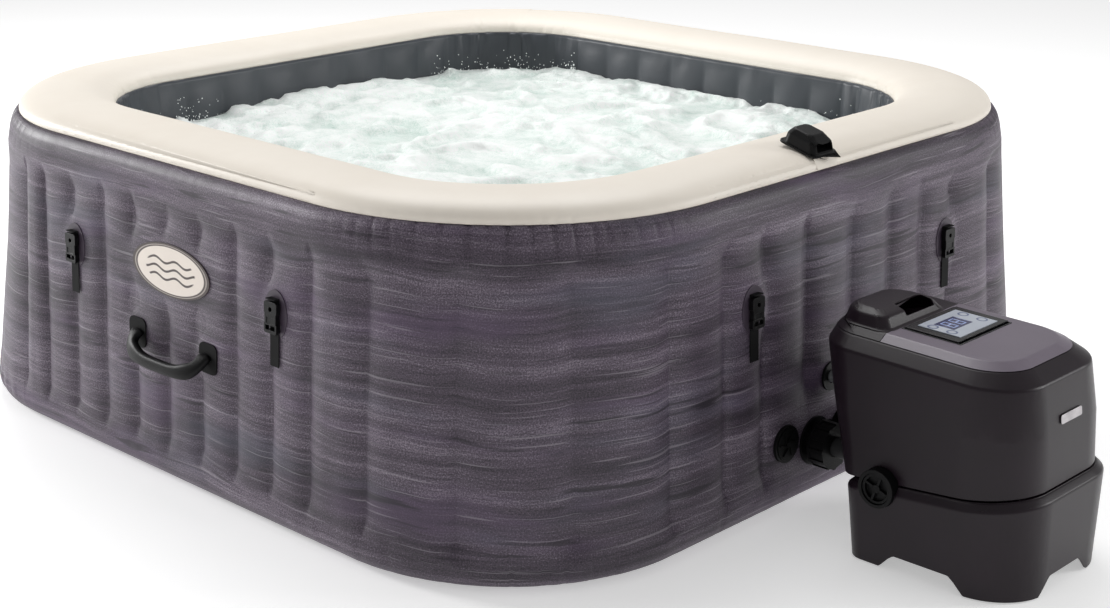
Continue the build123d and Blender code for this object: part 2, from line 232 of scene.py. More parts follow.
# ------------------------------------------------------------------ mesh makers
def piece(name, points, faces, finish, body="tub", slot=None, uv=None, smooth=True):
    """Mesh object from an array of points and an array of quads or triangles."""
    mesh = bpy.data.meshes.new(name)
    mesh.from_pydata(points.reshape(-1, 3), [], faces.tolist() if hasattr(faces, "tolist") else faces)
    if uv is not None:
        layer = mesh.uv_layers.new(name="UVMap")
        loops = np.zeros(len(mesh.loops), np.int32)
        mesh.loops.foreach_get("vertex_index", loops)
        layer.data.foreach_set("uv", uv.reshape(-1, 2)[loops].astype(np.float32).ravel())
    if smooth:
        mesh.polygons.foreach_set("use_smooth", np.ones(len(mesh.polygons), bool))
    thing = bpy.data.objects.new(name, mesh)
    bpy.context.scene.collection.objects.link(thing)
    mesh.materials.append(finish)
    if body:
        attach(thing, body)
    return thing


def grid_faces(rows, columns, wrap_rows=False, wrap_columns=False):
    """Quads of a rows by columns grid; a wrapped direction joins its end to its start."""
    i = np.arange(rows if wrap_rows else rows - 1)[:, None]
    j = np.arange(columns if wrap_columns else columns - 1)[None, :]
    a, b = i * columns + j, i * columns + (j + 1) % columns
    c, d = ((i + 1) % rows) * columns + (j + 1) % columns, ((i + 1) % rows) * columns + j
    return np.stack([a, b, c, d], -1).reshape(-1, 4)


def ease(x):
    """Smooth step of x from 0 to 1."""
    x = np.clip(x, 0, 1)
    return x * x * (3 - 2 * x)


def signed_power(x, power):
    """The size of x to a power, with the sign of x: a power under 1 squares a round curve off."""
    return np.sign(x) * np.abs(x) ** power


# ------------------------------------------------------------------ the rounded square
FLAT = 0.42                     # half length of the straight part of each side
SEAM = 0.669                    # height of the seam between the wall and the rim
SEAM_HALF = 0.95                # half width of the outline on which lengths are measured
SEAM_RADIUS = 0.53              # and the radius of its corners
CORNER = 2 * (SEAM_HALF - SEAM_RADIUS - FLAT) + SEAM_RADIUS * PI / 2

# The outer wall's profile: heights, and the half width and corner radius at each.
LEVELS = np.array([0.0, 0.004, 0.014, 0.030, 0.050, 0.35, 0.60, 0.632, 0.650, 0.661, 0.6695])
HALVES = np.array([0.9300, 0.9480, 0.9660, 0.9765, 0.9806, 0.9663,
                   0.9540, 0.9515, 0.9465, 0.9395, 0.9300])
RADII = np.array([0.3950, 0.4120, 0.4280, 0.4400, 0.4470, 0.495,
                  0.522, 0.5290, 0.5260, 0.5190, 0.5100])


def outline(place, half, radius):
    """Points and outward normals of a rounded square at each place and level.

    place runs 0 to 8: on each side, 0 to 1 is the straight -FLAT to FLAT, and 1 to 2 goes by
    length along what is left of this side, a quarter circle of the radius, and the start of
    the next side. half and radius are arrays of levels; the result is levels by places."""
    p, h, r = place[None, :], half[:, None], radius[:, None]
    k, t = np.floor(p / 2), np.mod(p, 2)
    spare = h - r - FLAT
    length = 2 * spare + r * PI / 2
    run = np.clip(t - 1, 0, 1) * length
    turn = np.clip((run - spare) / r, 0, PI / 2)
    before = np.where(t < 1, -FLAT + 2 * FLAT * t, FLAT + np.minimum(run, spare))
    x = np.where(turn <= 0, before, h - r + r * np.sin(turn))
    y = -(h - r) - r * np.cos(turn) + np.clip(run - spare - r * PI / 2, 0, None)
    angle = k * PI / 2
    c, s = np.cos(angle), np.sin(angle)
    nx, ny = np.sin(turn) + 0 * h, -np.cos(turn) + 0 * h
    return (np.stack([x * c - y * s, x * s + y * c], -1),
            np.stack([nx * c - ny * s, nx * s + ny * c], -1))


def walked(place):
    """Length in metres from the start of side 0 to each place, on the outline at the rim."""
    k, t = np.floor(place / 2), np.mod(place, 2)
    return k * (2 * FLAT + CORNER) + np.minimum(t, 1) * 2 * FLAT + np.clip(t - 1, 0, 1) * CORNER


def place_of(length):
    """The inverse of walked: the place at each length round the rim."""
    k = np.floor(length / (2 * FLAT + CORNER))
    rest = length - k * (2 * FLAT + CORNER)
    return 2 * k + np.minimum(rest / (2 * FLAT), 1) + np.clip((rest - 2 * FLAT) / CORNER, 0, 1)


AROUND = float(walked(np.array([7.9999999]))[0])
QUARTER = AROUND / 4
# Weld lines between the air chambers, as lengths from the start of each side.
ON_BADGE_SIDE = FLAT + np.array([-0.452, -0.342, -0.232, -0.122, -0.012, 0.098, 0.208, 0.318, 0.428])
ON_BASE_SIDE = FLAT + np.array([-0.389, -0.272, -0.134, 0.019, 0.155, 0.270, 0.380])
ON_CORNER = 2 * FLAT + np.array([0.145, 0.320, 0.525, 0.720])
ON_SIDES = [np.concatenate([ON_BASE_SIDE if k % 2 else ON_BADGE_SIDE, ON_CORNER]) for k in range(4)]
WELDS = np.sort(np.concatenate([k * QUARTER + ON_SIDES[k] for k in range(4)]) % AROUND)
SIDE_STEP = 0.0105              # mean step between columns on the flats, at most
CORNER_STEP = 0.0055            # and in the corners


def chambered(welds, total):
    """Columns round the tub: length, place -1 to 1 in the air chamber, and the chamber's width.

    Columns crowd towards the welds, and stand closer in the corners, where the skin puckers."""
    ends = np.append(welds, welds[0] + total)
    lengths, insides, widths = [], [], []
    for low, high in zip(ends[:-1], ends[1:]):
        turning = np.mod(place_of(np.array([(low + high) / 2 % total]))[0], 2) > 1
        count = int(np.ceil((high - low) / (CORNER_STEP if turning else SIDE_STEP)))
        share = np.linspace(-1, 1, count, endpoint=False)
        share = np.sin(share * PI / 2) * 0.35 + share * 0.65
        lengths.append((low + high) / 2 + share * (high - low) / 2)
        insides.append(share)
        widths.append(np.full(len(share), high - low))
    return np.concatenate(lengths) % total, np.concatenate(insides), np.concatenate(widths)


def noise_field(x, y, seed, octaves):
    """Smooth noise from 0 to 1: octaves of random lattice values, eased between lattice points,
    each twice as fine and half as strong as the one before."""
    rng = np.random.default_rng(seed)
    total, weight = np.zeros(np.broadcast(x, y).shape), 0.0
    for k in range(octaves):
        lattice = rng.random((64, 64))
        gain = 0.5 ** k
        px, py = np.asarray(x) * 2 ** k + 17.3 * k, np.asarray(y) * 2 ** k + 5.7 * k
        ix, iy = np.floor(px).astype(int), np.floor(py).astype(int)
        fx, fy = ease(px - ix), ease(py - iy)
        a, b = lattice[ix % 64, iy % 64], lattice[(ix + 1) % 64, iy % 64]
        c, d = lattice[ix % 64, (iy + 1) % 64], lattice[(ix + 1) % 64, (iy + 1) % 64]
        total = total + gain * ((a * (1 - fx) + b * fx) * (1 - fy) + (c * (1 - fx) + d * fx) * fy)
        weight += gain
    return total / weight


def grid_normals(points):
    """Unit normals of a grid whose rows close: cross product of its steps along and up."""
    ring = np.concatenate([points[:, -1:], points, points[:, :1]], 1)
    along = np.gradient(ring, axis=1)[:, 1:-1]
    up = np.gradient(points, axis=0)
    n = np.cross(along, up)
    return n / np.maximum(np.linalg.norm(n, axis=-1, keepdims=True), 1e-12)


def thick(points, depth, every):
    """Closed band: the rows of a grid, then every few of them again, depth behind, on the way back."""
    back = np.unique(np.append(np.arange(0, len(points), every), len(points) - 1))[::-1]
    return np.concatenate([points, (points - depth * grid_normals(points))[back]], 0), back


def band(name, skin, depth, slot, every=5):
    """Closed skin all round the tub from a grid of rows by columns, with its thickness and UV."""
    points, uv = skin
    closed, back = thick(points, depth, every)
    rows, columns = closed.shape[:2]
    faces = grid_faces(rows, columns, wrap_rows=True, wrap_columns=True)
    both = np.concatenate([uv, uv[back]], 0)
    return piece(name, closed, faces, FINISHES[slot], slot=slot, uv=both)


# Columns of the skins: length round the rim, place in the air chamber, its width, place on the
# outline, and length along the skin from its own seam, which is at the back corner.
START = 2 * QUARTER + float(ON_CORNER[1])
RUN, INSIDE, WIDE = chambered(WELDS, AROUND)
turned = np.argsort((RUN - START) % AROUND)
RUN, INSIDE, WIDE = RUN[turned], INSIDE[turned], WIDE[turned]
PLACES = place_of(RUN)
WRAP = (RUN - START) % AROUND


def near(side, along, z, wide, tall, height):
    """How far outside an ellipse on a side's face each point of the wall is: 1 at its edge."""
    centre = side * QUARTER + FLAT + along
    d = (RUN[None, :] - centre + AROUND / 2) % AROUND - AROUND / 2
    return np.hypot(d / wide, (height - z) / tall)


# What is welded or screwed flat on the wall: side, place along it, height, half width, half height.
PRESSED = [(1, -0.112, 0.128, 0.053, 0.053),    # water inlet
           (1, -0.006, 0.128, 0.053, 0.053),    # water outlet
           (1, -0.059, 0.250, 0.033, 0.033),    # air inlet
           (1, -0.210, 0.148, 0.041, 0.041),    # air valve
           (0, 0.012, 0.461, 0.130, 0.057),     # oval badge
           (0, -0.106, 0.308, 0.034, 0.036),    # handle roots, badge side
           (0, 0.132, 0.308, 0.034, 0.036),
           (2, -0.106, 0.308, 0.034, 0.036),    # handle roots, back
           (2, 0.132, 0.308, 0.034, 0.036)]
# The middle of each side's pair of cover buckles, which stand 333 mm to either side of it.
BUCKLE_PAIRS = ((0, 0.0075, "buckle_front_"), (1, 0.020, "buckle_right_"),
                (2, 0.0, "buckle_back_"), (3, 0.0, "buckle_left_"))
BUCKLES = [(side, middle + way * 0.333, name + letter)
           for side, middle, name in BUCKLE_PAIRS for way, letter in ((-1, "a"), (1, "b"))]
PRESSED += [(side, along, 0.446, 0.036, 0.050) for side, along, _ in BUCKLES]


def corner_share():
    """At each column, 0 on a side's flat and 1 at the middle of a corner."""
    t = np.mod(PLACES, 2)
    return np.where(t > 1, np.sin((t - 1) * PI) ** 2, 0.0)


def gathers(height, slant):
    """Narrow folds, 0 between them and 1 in each: the valleys of a sine of about 37 mm whose phase
    wanders along the seam and slants with height, each fold of its own depth."""
    phase = WRAP[None, :] * 27 + 2.2 * noise_field(WRAP[None, :] * 9, height * 3, 12, 2) + slant * height
    depth = 0.35 + 0.65 * noise_field(WRAP[None, :] * 24, height * 2, 15, 2)
    return (1 - ease(np.abs(np.sin(PI * phase)) / 0.62)) * depth


def wall_press(height):
    """Outward step of the wall from its smooth shape, in metres.

    Each air chamber is a crown, 1 - |place|^2.6, that drops by the weld depth at its two welds;
    the welds fade out below the rim seam and above the floor; short puckers stand under the seam
    and over the hem, most in the corners; what is fixed on the wall is pressed level."""
    rng = np.random.default_rng(4)
    deep = 0.0125 * np.sqrt(WIDE / 0.12)
    chamber = np.searchsorted(WELDS, RUN) % len(WELDS)
    tops = 0.600 + rng.uniform(-0.008, 0.010, len(WELDS) + 1)[chamber]
    crown = 1 - np.abs(INSIDE) ** 2.6
    fade = ease((tops - height) / 0.045) * ease((height - 0.050) / 0.060)
    push = -deep * (1 - crown) * fade
    crimp = noise_field(WRAP[None, :] * 9, height * 34, 11, 3) - 0.5
    push = push + 0.0050 * crimp * np.abs(INSIDE) ** 3 * fade
    corner = corner_share()
    seam = np.exp(-((0.664 - height) / 0.046) ** 2)
    push = push - 0.0105 * gathers(height, 2.5) * (0.06 + 0.94 * corner) * seam
    hem = np.exp(-np.abs(height - 0.050) / 0.030)
    pucker = noise_field(WRAP[None, :] * 62, height * 6, 13, 2)
    push = push - 0.0070 * (0.25 + 0.75 * corner) * hem * ease((pucker - 0.42) / 0.32)
    push = push + 0.0030 * (noise_field(WRAP[None, :] * 2.2, height * 5, 14, 3) - 0.5)
    welded = np.exp(-((height - 0.061) / 0.0045) ** 4)
    push = push * (1 - 0.7 * welded) - 0.0014 * welded
    push = np.minimum(push, 0.0)
    for fixed in PRESSED:
        level = ease((1.75 - near(*fixed, height)) / 0.75)
        push = push * (1 - level) - 0.0005 * level
    return push


def lifted(plan, levels):
    """Points of a skin from its plan at each level, and its UV: length along the skin, height."""
    heights = np.broadcast_to(levels[:, None, None], plan.shape[:2] + (1,))
    uv = np.stack(np.broadcast_arrays(WRAP[None, :], levels[:, None]), -1)
    return np.concatenate([plan, heights], -1), uv


def wall_skin():
    """Outer wall: the rounded square at each level, pushed along its normal by wall_press."""
    levels = np.concatenate([np.linspace(0, 0.110, 20, endpoint=False),
                             np.linspace(0.110, 0.560, 30, endpoint=False),
                             np.linspace(0.560, SEAM, 26)])
    half, radius = np.interp(levels, LEVELS, HALVES), np.interp(levels, LEVELS, RADII)
    plan, normal = outline(PLACES, half, radius)
    push = wall_press(levels[:, None])
    return lifted(plan + normal * push[..., None], levels)


RIM_MIDDLE = 0.8235             # from the middle of the tub to the rim's crest
RIM_HALF = 0.1065               # half width of the rim
RIM_RISE = 0.0395               # height of its crest over the seams


def rim_skin():
    """Puffed rim: a superellipse arch from the outer seam to the inner one, with puckered edges."""
    share = np.concatenate([np.linspace(0, 0.12, 9, endpoint=False),
                            np.linspace(0.12, 0.88, 20, endpoint=False),
                            np.linspace(0.88, 1, 9)])
    t = PI * share
    corner = corner_share()[None, :]
    reach = RIM_MIDDLE + RIM_HALF * signed_power(np.cos(t), 0.86)
    lift = SEAM - 0.005 * ease(share) + RIM_RISE * signed_power(np.sin(t), 0.86)
    outer, inner = np.exp(-share / 0.07)[:, None], np.exp(-(1 - share) / 0.10)[:, None]
    crease = gathers(share[:, None], 1.0)
    fold = ease((noise_field(WRAP[None, :] * 34, share[:, None] * 2, 22, 3) - 0.45) / 0.3)
    slack = noise_field(WRAP[None, :] * 2.6, share[:, None] * 3, 23, 3) - 0.5
    push = -0.0062 * (0.10 + corner) * outer * crease - 0.0060 * (0.30 + corner) * inner * fold
    push = push * np.sin(t)[:, None] ** 0.35 + 0.0045 * slack * np.sin(t)[:, None]
    normal = np.stack([np.cos(t) / RIM_HALF, np.sin(t) / RIM_RISE], -1)
    normal = normal / np.linalg.norm(normal, axis=-1, keepdims=True)
    plan, out = outline(PLACES, reach, reach - FLAT)
    xy = plan + out * (push * normal[:, :1])[..., None]
    z = lift[:, None] + push * normal[:, 1:]
    length = np.append(0, np.cumsum(np.hypot(np.diff(reach), np.diff(lift))))
    uv = np.stack(np.broadcast_arrays(WRAP[None, :], length[:, None]), -1)
    return np.concatenate([xy, z[..., None]], -1), uv


INNER_HALF = 0.707              # half width of the inner wall at the tub floor


def leaning(foot, height):
    """A half width or radius of the inner wall: foot at the floor, and 10 mm more at the top."""
    return foot + height / 0.660 * 0.010


def inner_reach(height):
    """Distance of the inner wall's face from the middle: wider towards the top, bulging into the
    water between its welds, and pleated under the rim's inner seam, most in the corners."""
    crown = 1 - np.abs(INSIDE) ** 2.2
    fade = ease((0.652 - height) / 0.05) * ease(height / 0.05)
    bulge = 0.0075 * crown * fade
    folds = ease((noise_field(WRAP[None, :] * 26 + height * 4, height * 7, 31, 3) - 0.45) / 0.25)
    upper = np.exp(-(0.664 - height) / 0.05)
    pleat = 0.006 * folds * upper * (0.4 + corner_share()) * ease((0.664 - height) / 0.012)
    return leaning(INNER_HALF, height) - bulge - pleat


def inner_skin():
    """Inner wall from the tub floor up to the rim's inner seam, bulging into the water."""
    levels = np.concatenate([np.linspace(0.664, 0.545, 26, endpoint=False),
                             np.linspace(0.545, 0.0036, 22)])
    half = leaning(INNER_HALF, levels)
    plan, normal = outline(PLACES, half, half - FLAT)
    points, uv = lifted(plan + normal * (inner_reach(levels[:, None]) - half[:, None])[..., None], levels)
    return points[::-1], uv[::-1]


WEB_SHORT = 0.0230              # how far a web stops short of the outer wall's smooth shape


def webs():
    """Inner webs: one flat sheet per weld, straight across from behind the outer wall's weld to
    the inner wall, 1 mm thick, with its foot and its top closed by quads."""
    levels = np.linspace(0.034, 0.585, 12)
    half, radius = np.interp(levels, LEVELS, HALVES), np.interp(levels, LEVELS, RADII)
    place = place_of(WELDS)
    out, _ = outline(place, half - WEB_SHORT, radius)
    near_in, _ = outline(place, leaning(0.7078, levels), leaning(0.2878, levels))
    share = np.linspace(0, 1, 5)[:, None, None, None]
    xy = out[None] * (1 - share) + near_in[None] * share
    z = np.broadcast_to(levels[None, :, None, None], xy.shape[:3] + (1,))
    sheet = np.concatenate([xy, z], -1).transpose(2, 0, 1, 3)          # weld, share, level, xyz
    side = np.cross(sheet[:, -1:, :1] - sheet[:, :1, :1], [0, 0, 1.0])
    side = 0.0005 * side / np.linalg.norm(side, axis=-1, keepdims=True)
    loop = np.concatenate([sheet + side, (sheet - side)[:, ::-1]], 1)   # a closed loop round each web
    one = grid_faces(loop.shape[1], loop.shape[2], wrap_rows=True)
    n = loop.shape[1]
    pairs = np.arange(4)[:, None]
    foot = np.concatenate([pairs, pairs + 1, n - 2 - pairs, n - 1 - pairs], 1) * loop.shape[2]
    one = np.concatenate([one, foot[:, ::-1], foot + loop.shape[2] - 1])
    count = loop.shape[1] * loop.shape[2]
    faces = (one[None] + np.arange(len(loop))[:, None, None] * count).reshape(-1, 4)
    return loop, faces


WATER_LEVEL = 0.563
WATER_REACH = 0.7135            # from the middle of the tub to the water's edge on a flat
DROPS = 1500


def water():
    """Bubbling water: rows across the well, each as long as the rounded square is wide there, lifted
    by three sorts of noise: a broad swell, ridged boils that throw up crests, and fine froth. The
    surface's edge then goes down and closes under it as a shallow tray just inside the wall."""
    radius = WATER_REACH - FLAT
    across, up = np.meshgrid(np.linspace(-1, 1, 210), np.sin(np.linspace(-1, 1, 210) * PI / 2))
    y = up * WATER_REACH
    past = np.clip(np.abs(y) - (WATER_REACH - radius), 0, radius)
    x = across * (WATER_REACH - radius + np.sqrt(np.maximum(radius ** 2 - past ** 2, 0)))
    swell = noise_field(x * 3.1, y * 3.1, 41, 3) - 0.5
    boil = 1 - np.abs(2 * noise_field(x * 6.4 + swell, y * 6.4, 42, 4) - 1)
    froth = noise_field(x * 26, y * 26, 43, 3) - 0.5
    crest = ease((boil - 0.60) / 0.38)
    z = WATER_LEVEL + 0.018 * swell + 0.017 * crest ** 2 + 0.007 * froth * (0.4 + crest)
    top = np.stack([x, y, z], -1)
    under = np.stack([x * 0.998, y * 0.998, np.full_like(z, WATER_LEVEL - 0.060)], -1)
    rows, columns = z.shape
    one = grid_faces(rows, columns)
    count = rows * columns
    row, column = np.arange(rows), np.arange(columns)
    edge = np.concatenate([column[:-1], row[:-1] * columns + columns - 1,
                           (rows - 1) * columns + column[:0:-1], row[:0:-1] * columns])
    ahead = np.roll(edge, -1)
    side = np.stack([edge + count, ahead + count, ahead, edge], -1)
    points = np.concatenate([top.reshape(-1, 3), under.reshape(-1, 3)])
    return points, np.concatenate([one, one[:, ::-1] + count, side])


def water_edge():
    """Points in plan where the inner wall meets the water, one at each column."""
    reach = inner_reach(np.array([[WATER_LEVEL]]))[0]
    ring, _ = outline(PLACES, np.array([0.70]), np.array([0.28]))
    return ring[0] * (reach / 0.70)[:, None]


def spray():
    """Thrown drops: octahedra strewn inside the water's edge, fewer with height and with distance in."""
    edge = water_edge()
    rng = np.random.default_rng(51)
    column = rng.integers(0, len(edge), DROPS)
    share = 1 - np.minimum(rng.exponential(0.10, DROPS), 0.8) - 0.022
    height = 0.566 + np.minimum(rng.exponential(0.016, DROPS), 0.062)
    size = rng.uniform(0.0007, 0.0022, DROPS)
    middle = np.concatenate([edge[column] * share[:, None], height[:, None]], 1)
    star = np.array([[1, 0, 0], [0, 1, 0], [-1, 0, 0], [0, -1, 0], [0, 0, 1], [0, 0, -1.0]])
    points = middle[:, None] + star[None] * size[:, None, None]
    one = np.array([[0, 1, 4], [1, 2, 4], [2, 3, 4], [3, 0, 4],
                    [1, 0, 5], [2, 1, 5], [3, 2, 5], [0, 3, 5]])
    return points, (one[None] + 6 * np.arange(DROPS)[:, None, None]).reshape(-1, 3)


# ------------------------------------------------------------------ finishes
def srgb(r, g, b):
    """Linear colour of a screen colour from 0 to 255."""
    v = np.array([r, g, b]) / 255
    return tuple(float(c) for c in np.where(v < 0.04045, v / 12.92, ((v + 0.055) / 1.055) ** 2.4))


def print_vinyl():
    """Wall print: weathered planks. Tone bands, long fine grain, dark dashes and salt over greys."""
    f = Finish("printed_vinyl")
    u, v, _ = f.split(f.laid())
    rise = v + f.noise(f.join(u * 2.4, v * 1.6), 1.0, 2.0) * 0.050
    board = f.noise(f.join(u * 0.8, rise * 21.0), 1.0, 3.0, 0.55)
    grain = f.noise(f.join(u * 3.4, rise * 130.0), 1.0, 4.0, 0.65)
    salt = f.noise(f.join(u, v), 330.0, 3.0, 0.9)
    blotch = f.noise(f.join(u * 6.0, v * 8.0), 1.0, 4.0, 0.6)
    tone = board * 0.90 + grain * 0.55 + salt * 1.80 + blotch * 0.45 - 1.40
    base = f.ramp(tone, (0.14, srgb(31, 24, 34)), (0.42, srgb(68, 58, 71)), (0.62, srgb(99, 88, 102)),
                  (0.92, srgb(160, 150, 163)))
    plum = f.noise(f.join(u * 2.2, rise * 9.0 + 5.0), 1.0, 3.0).step(0.50, 0.72)
    base = f.mix(plum * 0.40, base, srgb(96, 76, 106))
    slate = f.noise(f.join(u * 2.0 + 7.0, rise * 8.0), 1.0, 3.0).step(0.52, 0.75)
    base = f.mix(slate * 0.30, base, srgb(92, 96, 112))
    crowd = f.noise(f.join(u * 1.5 + 3.0, rise * 10.0), 1.0, 2.0).step(0.40, 0.62)
    dash = f.noise(f.join(u * 4.6, rise * 58.0 + 9.0), 1.0, 2.0, 0.5).step(0.57, 0.66) * crowd
    hair = f.noise(f.join(u * 9.0 + 5.0, rise * 210.0), 1.0, 2.0, 0.5).step(0.61, 0.69)
    base = f.mix((dash * 0.78).most(hair * 0.48), base, srgb(27, 20, 31))
    pale = f.noise(f.join(u * 4.2 + 9.0, rise * 170.0), 1.0, 2.0, 0.5).step(0.62, 0.70)
    base = f.mix(pale * 0.34, base, srgb(168, 162, 170))
    f.set("Base Color", base)
    f.set("Roughness", 0.38 + blotch * 0.14 + salt * 0.08)
    f.set("Normal", f.bump(grain * 0.6 + salt * 0.8 - dash * 0.4, 0.0004, 0.6))
    return f.made


def soft_vinyl(name, pale, deep, rough, grain=520.0, dirt=0.25):
    """Plain sheet vinyl: two close tones in slow clouds, a pebbled grain, duller in the clouds."""
    f = Finish(name)
    place = f.place()
    cloud = f.noise(place, 5.0, 4.0, 0.6)
    fine = f.noise(place, 240.0, 3.0, 0.6)
    pebble = f.cells(place, grain, "SMOOTH_F1")
    tone = f.mix(cloud.step(0.35, 0.75) * dirt + fine.step(0.5, 0.8) * 0.10, pale, deep)
    f.set("Base Color", tone)
    f.set("Roughness", rough + cloud * 0.10 + fine * 0.05)
    f.set("Normal", f.bump(pebble * 0.6 + fine * 0.4, 0.00025, 0.5))
    return f.made


def moulded(name, pale, deep, rough, grain, wear, bumpy=0.0003, gloss=0.5):
    """Moulded plastic: spark-eroded grain, slow tone drift, hairline scuffs along two directions."""
    f = Finish(name, Specular_IOR_Level=gloss)
    place = f.place()
    drift = f.noise(place, 7.0, 3.0, 0.6)
    spark = f.noise(place, grain, 2.0, 0.6)
    scuff_a = f.noise(f.stretch(place, (420, 24, 24), (0.2, 0.3, 0.4)), 1.0, 3.0, 0.6).step(0.66, 0.76)
    scuff_b = f.noise(f.stretch(place, (20, 26, 380), (0.5, 0.2, 0.1)), 1.0, 3.0, 0.6).step(0.67, 0.77)
    scuff = scuff_a.most(scuff_b) * drift.step(0.35, 0.7)
    tone = f.mix(drift.step(0.3, 0.8) * 0.35 + spark.step(0.45, 0.75) * 0.18, deep, pale)
    f.set("Base Color", f.mix(scuff * wear, tone, tuple(min(1, c * 1.8 + 0.02) for c in pale)))
    f.set("Roughness", rough + drift * 0.08 + scuff * 0.12 + spark * 0.05)
    f.set("Normal", f.bump(spark + scuff * 0.3, bumpy, 0.6))
    return f.made


def weave(name, yarn, painted_shade, pitch=0.0016):
    """Webbing: a basket weave of yarns by pitch, in its own UV. The yarn is paler where it lifts and
    darker where it sinks between crossings, which is painted shade in the weave, with random fuzz.
    """
    f = Finish(name, Specular_IOR_Level=0.2)
    u, v, _ = f.split(f.laid())
    a, b = (u * (PI / pitch)).sine(), (v * (PI / pitch)).sine()
    over = (a * b).step(-0.25, 0.25)
    lift = abs(a) * over + abs(b) * (1 - over)
    fuzz = f.noise(f.join(u, v), 2600.0, 2.0)
    # Colour by yarn height: raised yarn pale and sunk yarn dark, painted shade, mixed with random fuzz.
    f.set("Base Color", f.mix((lift * 0.6 + fuzz * 0.5).step(0.2, 1.1), painted_shade, yarn))
    f.set("Roughness", 0.62 + fuzz * 0.2)
    f.set("Normal", f.bump(lift + fuzz * 0.3, 0.0004, 0.9))
    return f.made


def metal(name, pale, deep, rough, brushed=(900, 40, 40)):
    """Metal with a brushed grain and faint stains."""
    f = Finish(name, Metallic=1.0)
    place = f.place()
    brush = f.noise(f.stretch(place, brushed), 1.0, 3.0, 0.6)
    stain = f.noise(place, 30.0, 4.0, 0.6)
    f.set("Base Color", f.mix(stain.step(0.35, 0.75) * 0.6 + brush * 0.3, pale, deep))
    f.set("Roughness", rough + brush * 0.16 + stain * 0.08)
    f.set("Normal", f.bump(brush, 0.0001, 0.5))
    return f.made


def bubbling_water():
    """Churned water: a breath of mint in the hollows, white froth nearly everywhere else, and a faint
    mint-white glow that is painted light.
    """
    f = Finish("bubbling_water", Coat_Weight=0.25, Coat_Roughness=0.15)
    place = f.place()
    x, y, z = f.split(place)
    flat = f.join(x, y)
    boil = f.noise(flat, 6.0, 8.0, 0.72, 0.3)
    raft = f.noise(flat, 40.0, 6.0, 0.78, 0.5)
    fizz = f.cells(flat, 210.0)
    grit = f.noise(flat, 260.0, 3.0, 0.9)
    high = z.step(0.550, 0.584)
    froth = boil * 1.1 + raft * 0.7 + high * 0.25 + grit * 0.9 - 1.02 + (0.5 - fizz) * 0.2
    froth = froth.step(0.0, 0.78)
    clear = f.ramp(boil, (0.34, srgb(176, 204, 193)), (0.50, srgb(202, 222, 213)),
                   (0.64, srgb(224, 236, 231)))
    f.set("Base Color", f.mix(froth, clear, srgb(250, 253, 251)))
    f.set("Roughness", 0.26 + froth * 0.40)
    f.set("Normal", f.bump(raft * 0.8 + fizz * 0.2 + grit * 0.5 + boil * 1.2, 0.007, 0.6))
    # Painted light: the water glows faintly, white in the froth and mint elsewhere, though it is no lamp.
    f.set("Emission Color", f.mix(froth, (0.60, 0.72, 0.66), (1.0, 1.0, 1.0)))
    f.set("Emission Strength", 0.10)
    return f.made


def drops():
    """Thrown water: white, a little uneven from drop to drop, with a faint white glow that is painted
    light.
    """
    # Painted light: the drops glow faintly white, though they are no lamp.
    f = Finish("thrown_drops", Emission_Color=(1, 1, 1), Emission_Strength=0.12)
    spread = f.noise(f.place(), 40.0, 2.0)
    f.set("Base Color", f.mix(spread, srgb(226, 236, 232), srgb(255, 255, 255)))
    f.set("Roughness", 0.15 + spread * 0.2)
    return f.made


def oval_badge():
    """Badge print: dark border by the oval's own equation, ivory field, three plain ripples."""
    f = Finish("badge_vinyl")
    place = f.place()
    x, _, z = f.split(place)
    across, up = (x - 0.012) / 0.127, (z - 0.461) / 0.054
    oval = (across * across + up * up).root()
    border = oval.step(0.855, 0.880)
    hair = abs(oval - 0.925).step(0.022, 0.010)
    wave = ((x - 0.012) * 95.0).sine() * 0.0042
    rows = abs(((z - 0.461 - wave) / 0.0170 + 0.5).part() - 0.5).step(0.17, 0.11)
    field = oval.step(0.66, 0.62) * abs(z - 0.461).step(0.0270, 0.0260)
    grit = f.noise(place, 700.0, 3.0)
    cloud = f.noise(place, 30.0, 3.0)
    ivory = f.mix(cloud * 0.4 + grit * 0.2, srgb(236, 226, 216), srgb(214, 202, 192))
    brown = f.mix(grit * 0.5, srgb(58, 46, 44), srgb(84, 70, 66))
    f.set("Base Color", f.mix((border * (1 - hair * 0.4)).most(rows * field), ivory, brown))
    f.set("Roughness", 0.34 + cloud * 0.14)
    f.set("Normal", f.bump(grit - border * 1.5, 0.0002, 0.5))
    return f.made


def screen():
    """Display: pale blue glass, a dark window with generic digits, and round keys near the corners."""
    f = Finish("screen", Coat_Weight=0.6, Coat_Roughness=0.05)
    place = f.place()
    x, y, _ = f.split(place)
    a, b = (y + 0.093) / 0.065, (x - 1.268) / 0.045
    window = abs(a + 0.10).step(0.52, 0.50) * abs(b + 0.12).step(0.50, 0.47)
    key_a, key_b = abs(abs(a) - 0.80) * 1.44, abs(abs(b) - 0.45)
    rings = abs((key_a * key_a + key_b * key_b).root() - 0.20).step(0.06, 0.03)
    digit_x, digit_y = ((a + 0.10) * 2.4).part() - 0.5, (b + 0.12) / 0.36
    bars = abs(abs(digit_x) - 0.26).step(0.07, 0.04) * abs(digit_y).step(0.95, 0.90)
    crossbar = abs(digit_x).step(0.28, 0.25)
    bars = bars.most((abs(digit_y) * 0.5).step(0.06, 0.03) * crossbar)
    bars = bars.most(abs(abs(digit_y) - 0.88).step(0.10, 0.06) * crossbar)
    smear = f.noise(place, 14.0, 3.0)
    glass = f.mix(smear * 0.8, srgb(176, 184, 198), srgb(206, 212, 222))
    glass = f.mix(rings * 0.8, glass, srgb(70, 84, 130))
    dark = f.mix(bars * 0.9, srgb(34, 42, 92), srgb(176, 196, 250))
    f.set("Base Color", f.mix(window, glass, dark))
    f.set("Roughness", 0.16 + smear * 0.12)
    f.set("Normal", f.bump(f.noise(place, 500.0, 2.0), 0.00005, 0.3))
    return f.made


